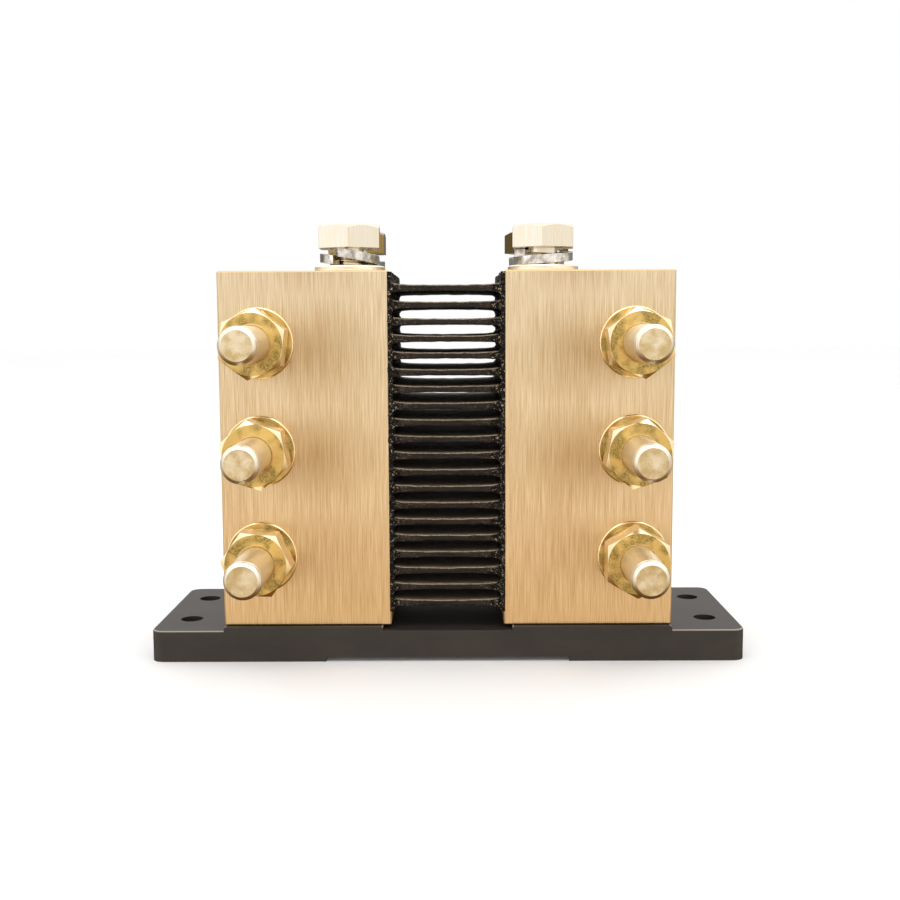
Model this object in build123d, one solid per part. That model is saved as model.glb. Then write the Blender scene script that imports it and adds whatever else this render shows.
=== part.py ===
from build123d import *
import math
import os

# High-current shunt: two brass terminal blocks joined by a stack of resistor strips, on a moulded base.
# Frame: +Z up, +X along the base, -Y towards the ends of the terminal bolts.
# Origin: centre of the four mounting holes, on the underside of the base. All sizes are in millimetres.

# ---- terminal blocks
BLOCK_LENGTH = 47.5          # along X
BLOCK_DEPTH = 50.0           # along Y, the through direction of the terminal bolts
BLOCK_HEIGHT = 100.0         # along Z
BLOCK_GAP = 32.0             # free length of the resistor strips between the blocks
BLOCK_CHAMFER = 0.4          # broken edges of the sawn bar

# ---- resistor strips and the braze that holds them
STRIP_COUNT = 20
STRIP_THICKNESS = 1.7
STRIP_INSET = 0.5            # front and back edges lie this far inside the blocks' faces
STRIP_SEAT = 5.0             # length of each end that sits in its block
STRIP_TOP_COVER = 4.0        # brass above the highest strip
STRIP_BOTTOM_COVER = 5.5     # brass below the lowest strip
SLOT_CLEARANCE = 0.05        # round each strip end in its slot
BRAZE_THICKNESS = 1.0        # layer of braze and paint on each block's inner face
BRAZE_BARE_FOOT = 4.0        # inner face left bare above the block's bottom
BRAZE_EDGE = 0.2             # braze beyond the strips' front and back edges

# ---- moulded base
BASE_THICKNESS = 9.0
BASE_END = 20.8              # base beyond the blocks at each end
BASE_LIP = 2.0               # base beyond the blocks at front and back
BASE_CORNER_RADIUS = 3.5
BASE_EDGE_RADIUS = 0.6
LAND_HEIGHT = 1.0            # raised seat under each block
LAND_INSET = 2.3             # each seat stops this short of the block's inner face
LAND_EDGE_RADIUS = 0.7
FOOT_LENGTH = 49.8           # flat foot under each end, with a shallow arch between the two
ARCH_HEIGHT = 1.2
MOUNT_HOLE_DIAMETER = 6.4    # clearance for M6
MOUNT_HOLE_END = 8.8         # from each end of the base to the hole centres
MOUNT_HOLE_SPACING = 26.0    # between the two holes at one end

# ---- terminal bolts, M10
BOLT_DIAMETER = 10.0
BOLT_BORE_CLEARANCE = 0.5    # radial, through the block
BOLT_FROM_OUTER_FACE = 11.25
BOLT_PITCH = 30.0            # between neighbouring bolts of one block
BOLT_FREE_END = 20.8         # bolt in front of the nut, where a cable lug is put on
BOLT_TIP_CHAMFER = 1.0
BOLT_DIMPLE_DIAMETER = 2.4   # centre mark in the bolt's end
BOLT_DIMPLE_DEPTH = 0.4

# ---- sense screws, M10
SENSE_THREAD_DIAMETER = 10.0
SENSE_SHANK_LENGTH = 20.0
SENSE_FROM_INNER_FACE = 11.5
SENSE_SPACING = 27.0         # between the front and back screw of one block
SENSE_BORE_SPARE = 4.5       # tapped hole beyond the screw's tip
SENSE_TIP_CHAMFER = 1.0

# ---- hexagons and washers that both sizes of fastener share
HEX_ACROSS_FLATS = 17.0
HEX_CHAMFER_INSET = 0.4      # round flat inside the corner chamfer, inside the six flats
HEX_CHAMFER_ANGLE = 30.0
HEAD_HEIGHT = 6.4
NUT_HEIGHT = 8.4
NUT_COUNTERSINK = 0.4        # at each end of the nut's thread
WASHER_DIAMETER = 20.0
WASHER_BORE_CLEARANCE = 0.25  # radial, round its screw
WASHER_THICKNESS = 1.6
WASHER_CHAMFER = 0.3         # round the outer edge, on the side away from the block
SPRING_BORE_CLEARANCE = 0.15  # radial, round its screw
SPRING_WIDTH = 3.3           # radial
SPRING_THICKNESS = 2.6       # along the axis
SPRING_RISE = 2.3            # free washer: rise of one end over the other
SPRING_CUT = 1.2             # gap between the two ends
SPRING_CUT_ANGLE = 25.0      # slope of a flattened washer's cut

# ---- countersunk screws that hold the blocks down on the base, M6
BASE_SCREW_DIAMETER = 6.0
BASE_SCREW_LENGTH = 16.0
BASE_SCREW_HEAD_DIAMETER = 12.0
BASE_SCREW_SINK = 0.5        # flat of the head above the underside of the base
BASE_SCREW_FROM_OUTER_FACE = 20.0
BASE_SCREW_SPACING = 24.0    # between the front and back screw of one block
BASE_SCREW_BORE_SPARE = 5.5  # tapped hole beyond the screw's tip
BASE_SCREW_SOCKET = 4.0      # across flats
BASE_SCREW_SOCKET_DEPTH = 2.0
BASE_SCREW_CLEARANCE = 0.2   # radial, in the base

# ---- fits
THREAD_CLEARANCE = 0.05      # radial, between a screw and its tapped hole
FACE_CLEARANCE = 0.02        # between faces that turn or slide on each other

# Turn of each terminal nut: angle of a corner from +X, seen from the front.
NUT_TURNS = {
    ("left", "top"): 23,
    ("left", "middle"): 41,
    ("left", "bottom"): 55,
    ("right", "top"): 38,
    ("right", "middle"): 19,
    ("right", "bottom"): 30,
}

# Turn of each sense screw: angle of a corner of its head from +X, seen from above.
HEAD_TURNS = {
    ("left", "front"): 32,
    ("left", "back"): 30,
    ("right", "front"): 25,
    ("right", "back"): 0,
}

# Each sense screw's spring washer: angle of its cut from +X, and whether it is wound left-handed.
SPRING_TURNS = {
    ("left", "front"): (-114, True),
    ("left", "back"): (65, True),
    ("right", "front"): (168, False),
    ("right", "back"): (20, True),
}

# ---- sizes that follow
HALF_GAP = BLOCK_GAP / 2
OUTER_FACE = HALF_GAP + BLOCK_LENGTH
BLOCK_BOTTOM = BASE_THICKNESS + LAND_HEIGHT
BLOCK_TOP = BLOCK_BOTTOM + BLOCK_HEIGHT
FRONT_FACE = -BLOCK_DEPTH / 2
BASE_LENGTH = 2 * (OUTER_FACE + BASE_END)
BASE_DEPTH = BLOCK_DEPTH + 2 * BASE_LIP
STRIP_DEPTH = BLOCK_DEPTH - 2 * STRIP_INSET
STRIP_LENGTH = BLOCK_GAP + 2 * STRIP_SEAT
STRIP_PITCH = (BLOCK_HEIGHT - STRIP_TOP_COVER - STRIP_BOTTOM_COVER - STRIP_THICKNESS) / (STRIP_COUNT - 1)
TOP_STRIP_Z = BLOCK_TOP - STRIP_TOP_COVER - STRIP_THICKNESS / 2
BOLT_X = OUTER_FACE - BOLT_FROM_OUTER_FACE
BOLT_MIDDLE_Z = BLOCK_BOTTOM + BLOCK_HEIGHT / 2
SENSE_X = HALF_GAP + SENSE_FROM_INNER_FACE
BASE_SCREW_X = OUTER_FACE - BASE_SCREW_FROM_OUTER_FACE
ARCH_LENGTH = BASE_LENGTH - 2 * FOOT_LENGTH
BASE_SCREW_BORE_DEPTH = BASE_SCREW_SINK + BASE_SCREW_LENGTH - BLOCK_BOTTOM + BASE_SCREW_BORE_SPARE
HEX_CORNER_RADIUS = HEX_ACROSS_FLATS / math.sqrt(3)
HEX_FACE_RADIUS = HEX_ACROSS_FLATS / 2 - HEX_CHAMFER_INSET
SPRING_FREE_HEIGHT = SPRING_THICKNESS + SPRING_RISE
SENSE_HEAD_SEAT = WASHER_THICKNESS + SPRING_FREE_HEIGHT + 2 * FACE_CLEARANCE  # over the block's top
SENSE_BORE_DEPTH = SENSE_SHANK_LENGTH - SENSE_HEAD_SEAT + SENSE_BORE_SPARE

SIDES = {"left": -1, "right": 1}
LEVELS = {"top": 1, "middle": 0, "bottom": -1}
ROWS = {"front": -1, "back": 1}

# Fasteners are made along their own +Z, and this plane turns that towards -Y.
OUT_OF_FRONT = Plane(origin=(0, 0, 0), x_dir=(1, 0, 0), z_dir=(0, -1, 0))

# A solid that stands on z = 0, and one that hangs below it.
STANDING = (Align.CENTER, Align.CENTER, Align.MIN)
HANGING = (Align.CENTER, Align.CENTER, Align.MAX)


# ---------------------------------------------------------------- hexagons and washers
def hex_prism(height, chamfer_bottom, chamfer_top):
    """Hexagon standing on z = 0, a corner on +X, with its corners turned off at the chosen ends."""
    prism = extrude(RegularPolygon(HEX_CORNER_RADIUS, 6), height)
    radial = HEX_CORNER_RADIUS - HEX_FACE_RADIUS
    drop = radial * math.tan(math.radians(HEX_CHAMFER_ANGLE))
    envelope = Cylinder(HEX_CORNER_RADIUS, height, align=STANDING)
    rims = envelope.edges().filter_by(GeomType.CIRCLE).sort_by(Axis.Z)
    if chamfer_bottom:
        envelope = chamfer(rims[0], drop, radial, reference=envelope.faces().filter_by(GeomType.CYLINDER)[0])
        rims = envelope.edges().filter_by(GeomType.CIRCLE).sort_by(Axis.Z)
    if chamfer_top:
        envelope = chamfer(rims[-1], drop, radial, reference=envelope.faces().filter_by(GeomType.CYLINDER)[0])
    return prism & envelope


def flat_washer(screw_diameter):
    """Washer lying on z = 0, its outer edge broken on the upper side."""
    disc = Cylinder(WASHER_DIAMETER / 2, WASHER_THICKNESS, align=STANDING)
    disc = chamfer(disc.edges().filter_by(GeomType.CIRCLE).sort_by(Axis.Z)[-1], WASHER_CHAMFER)
    return disc - Cylinder(screw_diameter / 2 + WASHER_BORE_CLEARANCE, 4 * WASHER_THICKNESS)


def flattened_spring_washer(screw_diameter):
    """Spring washer pressed flat on z = 0, its sloping cut on +X and the round faces' seam opposite."""
    bore_radius = screw_diameter / 2 + SPRING_BORE_CLEARANCE
    ring = Circle(bore_radius + SPRING_WIDTH) - Circle(bore_radius)
    body = Rot(0, 0, 180) * extrude(ring, SPRING_THICKNESS)
    cutter = Box(2 * SPRING_WIDTH, SPRING_CUT, 4 * SPRING_THICKNESS)
    middle = bore_radius + SPRING_WIDTH / 2
    return body - Pos(middle, 0, SPRING_THICKNESS / 2) * Rot(SPRING_CUT_ANGLE, 0, 0) * cutter


def free_spring_washer(screw_diameter, left_handed):
    """Spring washer as one open turn that stands on z = 0, its cut on +X."""
    middle_radius = screw_diameter / 2 + SPRING_BORE_CLEARANCE + SPRING_WIDTH / 2
    cut_turn = SPRING_CUT / (2 * math.pi * middle_radius)
    pitch = SPRING_RISE / (1 - cut_turn)
    path = Helix(pitch, SPRING_RISE, middle_radius, center=(0, 0, SPRING_THICKNESS / 2), lefthand=left_handed)
    way = -1 if left_handed else 1
    start = Plane(origin=path @ 0, x_dir=(1, 0, 0), z_dir=(0, way, 0))
    section = start * Rectangle(SPRING_WIDTH, SPRING_THICKNESS)
    coil = sweep(section, path, is_frenet=True)
    return Rot(0, 0, way * 180 * cut_turn) * coil


# ---------------------------------------------------------------- terminal hardware
def terminal_stack_height():
    """Height of the nut's outer face over the block's front face."""
    return WASHER_THICKNESS + SPRING_THICKNESS + NUT_HEIGHT + 2 * FACE_CLEARANCE


def terminal_bolt():
    """Bolt on +Z with z = 0 at the block's front face, and its head behind the block."""
    tip = terminal_stack_height() + BOLT_FREE_END
    head_seat = -BLOCK_DEPTH - WASHER_THICKNESS
    radius = BOLT_DIAMETER / 2
    shank = Pos(0, 0, head_seat) * Cylinder(radius, tip - head_seat, align=STANDING)
    shank = chamfer(shank.edges().filter_by(GeomType.CIRCLE).sort_by(Axis.Z)[-1], BOLT_TIP_CHAMFER)
    dimple = Cone(0, BOLT_DIMPLE_DIAMETER / 2, BOLT_DIMPLE_DEPTH, align=HANGING)
    head = Pos(0, 0, head_seat - HEAD_HEIGHT) * hex_prism(HEAD_HEIGHT, True, False)
    return head + shank - Pos(0, 0, tip) * dimple


def terminal_nut():
    """Nut standing on z = 0, with a countersink at each end of its thread."""
    bore_radius = BOLT_DIAMETER / 2 + THREAD_CLEARANCE
    nut = hex_prism(NUT_HEIGHT, True, True) - Cylinder(bore_radius, 4 * NUT_HEIGHT)
    circles = nut.edges().filter_by(GeomType.CIRCLE)
    mouths = [edge for edge in circles if edge.radius < bore_radius + NUT_COUNTERSINK]
    return chamfer(mouths, NUT_COUNTERSINK)


# ---------------------------------------------------------------- sense hardware
def sense_screw():
    """Screw with the seat of its head on z = 0 and its shank below."""
    shank = Cylinder(SENSE_THREAD_DIAMETER / 2 - THREAD_CLEARANCE, SENSE_SHANK_LENGTH, align=HANGING)
    shank = chamfer(shank.edges().filter_by(GeomType.CIRCLE).sort_by(Axis.Z)[0], SENSE_TIP_CHAMFER)
    return hex_prism(HEAD_HEIGHT, False, True) + shank


def base_screw():
    """Countersunk screw with the flat of its head on z = 0 and its shank above."""
    radius = BASE_SCREW_DIAMETER / 2 - THREAD_CLEARANCE
    head_radius = BASE_SCREW_HEAD_DIAMETER / 2
    head = Cone(head_radius, radius, head_radius - radius, align=STANDING)
    shank = Cylinder(radius, BASE_SCREW_LENGTH, align=STANDING)
    socket = extrude(RegularPolygon(BASE_SCREW_SOCKET / 2, 6, major_radius=False), BASE_SCREW_SOCKET_DEPTH)
    return head + shank - socket


# ---------------------------------------------------------------- places of the fasteners
def bolt_place(side, level):
    """Point where a terminal bolt leaves the block's front face."""
    height = BOLT_MIDDLE_Z + LEVELS[level] * BOLT_PITCH
    return Pos(SIDES[side] * BOLT_X, FRONT_FACE, height) * OUT_OF_FRONT.location


def sense_place(side, row):
    """Point where a sense screw enters the block's top."""
    return Pos(SIDES[side] * SENSE_X, ROWS[row] * SENSE_SPACING / 2, BLOCK_TOP)


def mount_hole_place(side, row):
    """Centre of a mounting hole on the underside of the base."""
    return Pos(SIDES[side] * (BASE_LENGTH / 2 - MOUNT_HOLE_END), ROWS[row] * MOUNT_HOLE_SPACING / 2, 0)


def base_screw_place(side, row):
    """Point under the base where a block is screwed down."""
    return Pos(SIDES[side] * BASE_SCREW_X, ROWS[row] * BASE_SCREW_SPACING / 2, 0)


# ---------------------------------------------------------------- base
def base_plate():
    """Moulded base with a raised seat under each block and a relief under its middle."""
    outline = RectangleRounded(BASE_LENGTH, BASE_DEPTH, BASE_CORNER_RADIUS)
    plate = extrude(outline, BASE_THICKNESS)
    for sign in SIDES.values():
        land_length = BLOCK_LENGTH - LAND_INSET
        land_x = sign * (OUTER_FACE - land_length / 2)
        land = Pos(land_x, 0, BASE_THICKNESS) * Box(
            land_length, BASE_DEPTH, LAND_HEIGHT, align=STANDING)
        ends = land.edges().filter_by(Axis.Y).group_by(Axis.Z)[-1]
        plate += fillet(ends, min(LAND_EDGE_RADIUS, 0.8 * LAND_HEIGHT))
    plate -= Box(ARCH_LENGTH, 2 * BASE_DEPTH, 2 * ARCH_HEIGHT)
    end_rims = plate.faces().filter_by(Plane.XY).filter_by_position(Axis.Z, BASE_THICKNESS, BASE_THICKNESS)
    outer = [end_rims.sort_by(Axis.X)[0], end_rims.sort_by(Axis.X)[-1]]
    rims = [edge for face in outer for edge in face.edges() if not on_block_side(edge)]
    plate = fillet(rims, BASE_EDGE_RADIUS)
    mount_hole = Cylinder(MOUNT_HOLE_DIAMETER / 2, 4 * BASE_THICKNESS)
    for side in SIDES:
        for row in ROWS:
            plate -= mount_hole_place(side, row) * mount_hole
            plate -= base_screw_place(side, row) * base_screw_hole()
    return plate


def on_block_side(edge):
    """True for the edge of an end panel that lies against a seat."""
    return abs(abs(edge.center().X) - OUTER_FACE) < BASE_EDGE_RADIUS / 2


def base_screw_hole():
    """Countersunk hole in the base, open at z = 0."""
    radius = BASE_SCREW_DIAMETER / 2 + BASE_SCREW_CLEARANCE
    mouth = BASE_SCREW_HEAD_DIAMETER / 2 + BASE_SCREW_CLEARANCE
    sink = Cone(mouth, radius, mouth - radius, align=STANDING)
    entry = Cylinder(mouth, 2 * BASE_SCREW_SINK)
    return Cylinder(radius, 4 * BLOCK_BOTTOM) + Pos(0, 0, BASE_SCREW_SINK) * sink + entry


# ---------------------------------------------------------------- blocks, strips and braze
def strip_z(index):
    """Middle height of a strip, counted from the top."""
    return TOP_STRIP_Z - index * STRIP_PITCH


def strip(index):
    return Pos(0, 0, strip_z(index)) * Box(STRIP_LENGTH, STRIP_DEPTH, STRIP_THICKNESS)


def block(side):
    """Terminal block with slots for the strips, bores for the bolts and tapped holes for the screws."""
    body = Pos(SIDES[side] * (HALF_GAP + BLOCK_LENGTH / 2), 0, BLOCK_BOTTOM) * Box(
        BLOCK_LENGTH, BLOCK_DEPTH, BLOCK_HEIGHT, align=STANDING)
    body = chamfer(body.edges(), BLOCK_CHAMFER)
    slot = Box(2 * (HALF_GAP + STRIP_SEAT + SLOT_CLEARANCE), STRIP_DEPTH + 2 * SLOT_CLEARANCE,
               STRIP_THICKNESS + 2 * SLOT_CLEARANCE)
    body -= [Pos(0, 0, strip_z(index)) * slot for index in range(STRIP_COUNT)]
    bore = Cylinder(BOLT_DIAMETER / 2 + BOLT_BORE_CLEARANCE, 4 * BLOCK_DEPTH)
    body -= [bolt_place(side, level) * bore for level in LEVELS]
    tapped = Cylinder(SENSE_THREAD_DIAMETER / 2, 2 * SENSE_BORE_DEPTH)
    body -= [sense_place(side, row) * tapped for row in ROWS]
    foot_hole = Pos(0, 0, BLOCK_BOTTOM) * Cylinder(BASE_SCREW_DIAMETER / 2, 2 * BASE_SCREW_BORE_DEPTH)
    body -= [base_screw_place(side, row) * foot_hole for row in ROWS]
    return body


def braze(side):
    """Layer of braze on a block's inner face, with the strips passing through it."""
    bottom = BLOCK_BOTTOM + BRAZE_BARE_FOOT
    height = BLOCK_TOP - BLOCK_CHAMFER - bottom
    x = SIDES[side] * (HALF_GAP - BRAZE_THICKNESS / 2)
    layer = Pos(x, 0, bottom) * Box(BRAZE_THICKNESS, STRIP_DEPTH + 2 * BRAZE_EDGE, height,
                                    align=STANDING)
    return layer - [strip(index) for index in range(STRIP_COUNT)]


# ---------------------------------------------------------------- assembly
def build_nodes():
    """Every piece in its place, by node name."""
    nodes = {"base_plate": base_plate()}
    for side in SIDES:
        nodes[f"block_{side}"] = block(side)
        nodes[f"braze_{side}"] = braze(side)
    for index in range(STRIP_COUNT):
        nodes[f"strip_{index + 1:02d}"] = strip(index)

    front_washers = []
    rear_washers = []
    for side in SIDES:
        for level in LEVELS:
            place = bolt_place(side, level)
            turn = Rot(0, 0, NUT_TURNS[side, level])
            spring_seat = WASHER_THICKNESS + FACE_CLEARANCE
            nut_seat = spring_seat + SPRING_THICKNESS + FACE_CLEARANCE
            label = f"{side}_{level}"
            nodes[f"terminal_bolt_{label}"] = place * turn * terminal_bolt()
            spring = place * Pos(0, 0, spring_seat) * turn * flattened_spring_washer(BOLT_DIAMETER)
            nodes[f"terminal_spring_washer_{label}"] = spring
            nodes[f"terminal_nut_{label}"] = place * Pos(0, 0, nut_seat) * turn * terminal_nut()
            washer = flat_washer(BOLT_DIAMETER)
            front_washers.append(place * washer)
            rear_washers.append(place * Pos(0, 0, -BLOCK_DEPTH) * Rot(180, 0, 0) * washer)
    nodes["terminal_front_washers"] = Compound(front_washers)
    nodes["terminal_rear_washers"] = Compound(rear_washers)

    sense_washers = []
    base_screws = []
    for side in SIDES:
        for row in ROWS:
            place = sense_place(side, row)
            cut_turn, left_handed = SPRING_TURNS[side, row]
            label = f"{side}_{row}"
            washer_turn = Pos(0, 0, WASHER_THICKNESS + FACE_CLEARANCE) * Rot(0, 0, cut_turn)
            spring = free_spring_washer(SENSE_THREAD_DIAMETER, left_handed)
            nodes[f"sense_spring_washer_{label}"] = place * washer_turn * spring
            head_turn = Pos(0, 0, SENSE_HEAD_SEAT) * Rot(0, 0, HEAD_TURNS[side, row])
            nodes[f"sense_screw_{label}"] = place * head_turn * sense_screw()
            sense_washers.append(place * flat_washer(SENSE_THREAD_DIAMETER))
            base_screws.append(base_screw_place(side, row) * Pos(0, 0, BASE_SCREW_SINK) * base_screw())
    nodes["sense_washers"] = Compound(sense_washers)
    nodes["base_screws"] = Compound(base_screws)
    return nodes


def main():
    os.makedirs("parts", exist_ok=True)
    for name, shape in build_nodes().items():
        export_step(shape, f"parts/{name}.step")


main()
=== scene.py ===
import math

import bmesh
import bpy
from bpy.props import FloatProperty, FloatVectorProperty, IntProperty, PointerProperty
from mathutils import Matrix, Vector, noise


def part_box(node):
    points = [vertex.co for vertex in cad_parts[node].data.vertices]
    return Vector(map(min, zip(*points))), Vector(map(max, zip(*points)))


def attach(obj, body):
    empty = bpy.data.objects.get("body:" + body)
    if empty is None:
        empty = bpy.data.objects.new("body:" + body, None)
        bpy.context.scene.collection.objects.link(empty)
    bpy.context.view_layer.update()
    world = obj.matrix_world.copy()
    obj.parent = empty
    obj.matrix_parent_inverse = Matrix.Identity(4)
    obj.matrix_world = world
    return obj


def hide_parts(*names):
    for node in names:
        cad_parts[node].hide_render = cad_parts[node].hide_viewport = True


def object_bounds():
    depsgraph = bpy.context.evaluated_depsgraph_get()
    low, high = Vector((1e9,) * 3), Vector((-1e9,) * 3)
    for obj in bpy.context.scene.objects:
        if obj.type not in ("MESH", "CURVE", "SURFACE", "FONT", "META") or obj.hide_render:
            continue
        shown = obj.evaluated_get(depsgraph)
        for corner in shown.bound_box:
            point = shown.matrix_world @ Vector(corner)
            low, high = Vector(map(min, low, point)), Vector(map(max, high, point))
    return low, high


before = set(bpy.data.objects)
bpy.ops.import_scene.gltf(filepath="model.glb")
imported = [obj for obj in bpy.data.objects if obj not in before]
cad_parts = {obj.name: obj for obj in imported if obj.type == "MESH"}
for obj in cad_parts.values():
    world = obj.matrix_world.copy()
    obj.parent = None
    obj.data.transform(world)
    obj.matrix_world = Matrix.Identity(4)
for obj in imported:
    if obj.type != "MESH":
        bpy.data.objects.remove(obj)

bl_info = {
    "name": "High-current shunt",
    "version": (1, 0, 0),
    "blender": (4, 5, 0),
    "location": "3D View > Sidebar > Shunt",
    "description": "Gives the brass blocks, strips, fasteners and base of a shunt their finish",
    "category": "Object",
}

# The frame is in metres: +X along the base, +Z up, -Y towards the ends of the terminal bolts.
MM = 0.001
CAD_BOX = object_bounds()
BODY = "fixed_body"
SIDES = {"left": -1, "right": 1}
STRIPS = sorted(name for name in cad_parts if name.startswith("strip_"))

# Places that come from the frame.
BLOCK_LOW, BLOCK_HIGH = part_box("block_right")
INNER_FACE = BLOCK_LOW.x
FRONT_FACE = BLOCK_LOW.y
BLOCK_DEPTH = BLOCK_HIGH.y - BLOCK_LOW.y
BRAZE_LOW, BRAZE_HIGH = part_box("braze_right")

# How far the braze runs out along the strips on each side of the middle, in fillets.
DRAWN_OUT = {-1: 1.2, 1: 2.0}

# Turn of each terminal nut's corner from +X, in degrees, seen from the front.
NUT_TURNS = {
    ("left", "top"): 23,
    ("left", "middle"): 41,
    ("left", "bottom"): 55,
    ("right", "top"): 38,
    ("right", "middle"): 19,
    ("right", "bottom"): 30,
}

# Turn of each sense screw's corner from +X, in degrees, seen from above.
HEAD_TURNS = {
    ("left", "front"): 32,
    ("left", "back"): 30,
    ("right", "front"): 25,
    ("right", "back"): 0,
}

# Each sense screw's spring washer: its cut in degrees from +X, 1 if it climbs anticlockwise or -1 if
# clockwise, how far it leans, and the direction of its raised side in degrees from +X.
SPRING_CUTS = {
    ("left", "front"): (-114, -1, 1.05 * MM, 180),
    ("left", "back"): (65, -1, 0.4 * MM, 90),
    ("right", "front"): (168, 1, 0.5 * MM, 73),
    ("right", "back"): (20, -1, 0.4 * MM, 90),
}


# ---------------------------------------------------------------- colours and nodes
def linear(hex_colour):
    """Scene-linear red, green and blue of an sRGB hex colour."""
    channels = (int(hex_colour[i:i + 2], 16) / 255 for i in (1, 3, 5))
    return tuple(c / 12.92 if c <= 0.04045 else ((c + 0.055) / 1.055) ** 2.4 for c in channels)


def rgba(colour):
    """A colour with full opacity, as a colour socket takes it."""
    return (*colour[:3], 1.0)


def add_node(tree, kind, settings=None, inputs=None):
    """Adds a node, sets its attributes, and gives each named input a value or a link."""
    node = tree.nodes.new(kind)
    for name, value in (settings or {}).items():
        setattr(node, name, value)
    for name, value in (inputs or {}).items():
        if isinstance(value, bpy.types.NodeSocket):
            tree.links.new(value, node.inputs[name])
        else:
            node.inputs[name].default_value = value
    return node


def start_material(name):
    """An empty node material, its tree and its output node."""
    material = bpy.data.materials.new(name)
    material.use_nodes = True
    tree = material.node_tree
    tree.nodes.clear()
    return material, tree, add_node(tree, "ShaderNodeOutputMaterial")


def object_place(tree):
    """Object coordinates, which are the frame's own metres."""
    return add_node(tree, "ShaderNodeTexCoord").outputs["Object"]


def pattern(tree, place, cell, detail=3.0, rough=0.6, offset=(0, 0, 0)):
    """Soft noise whose blotches are about cell = (x, y, z) in size."""
    scaled = add_node(tree, "ShaderNodeMapping", inputs={
        "Vector": place,
        "Location": offset,
        "Scale": tuple(1 / size for size in cell),
    }).outputs["Vector"]
    return add_node(tree, "ShaderNodeTexNoise", inputs={
        "Vector": scaled,
        "Scale": 1.0,
        "Detail": detail,
        "Roughness": rough,
    }).outputs["Fac"]


def remap(tree, value, low, high, to_low=0.0, to_high=1.0):
    """A value moved from one range to another and held inside it."""
    return add_node(tree, "ShaderNodeMapRange", inputs={
        "Value": value,
        "From Min": low,
        "From Max": high,
        "To Min": to_low,
        "To Max": to_high,
    }).outputs["Result"]


def combine(tree, operation, first, second=0.0):
    """One sum of two values."""
    return add_node(tree, "ShaderNodeMath", {"operation": operation}, {0: first, 1: second}).outputs["Value"]


def blend_colours(tree, factor, first, second, mode="MIX"):
    """Two colours mixed by a factor."""
    return add_node(tree, "ShaderNodeMix", {"data_type": "RGBA", "blend_type": mode}, {
        0: factor,
        6: first,
        7: second,
    }).outputs[2]


def relief(tree, height, depth, strength=1.0):
    """A bumped normal from a height that runs from 0 to 1 over a depth in metres."""
    return add_node(tree, "ShaderNodeBump", inputs={
        "Height": height,
        "Distance": depth,
        "Strength": strength,
    }).outputs["Normal"]


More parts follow.
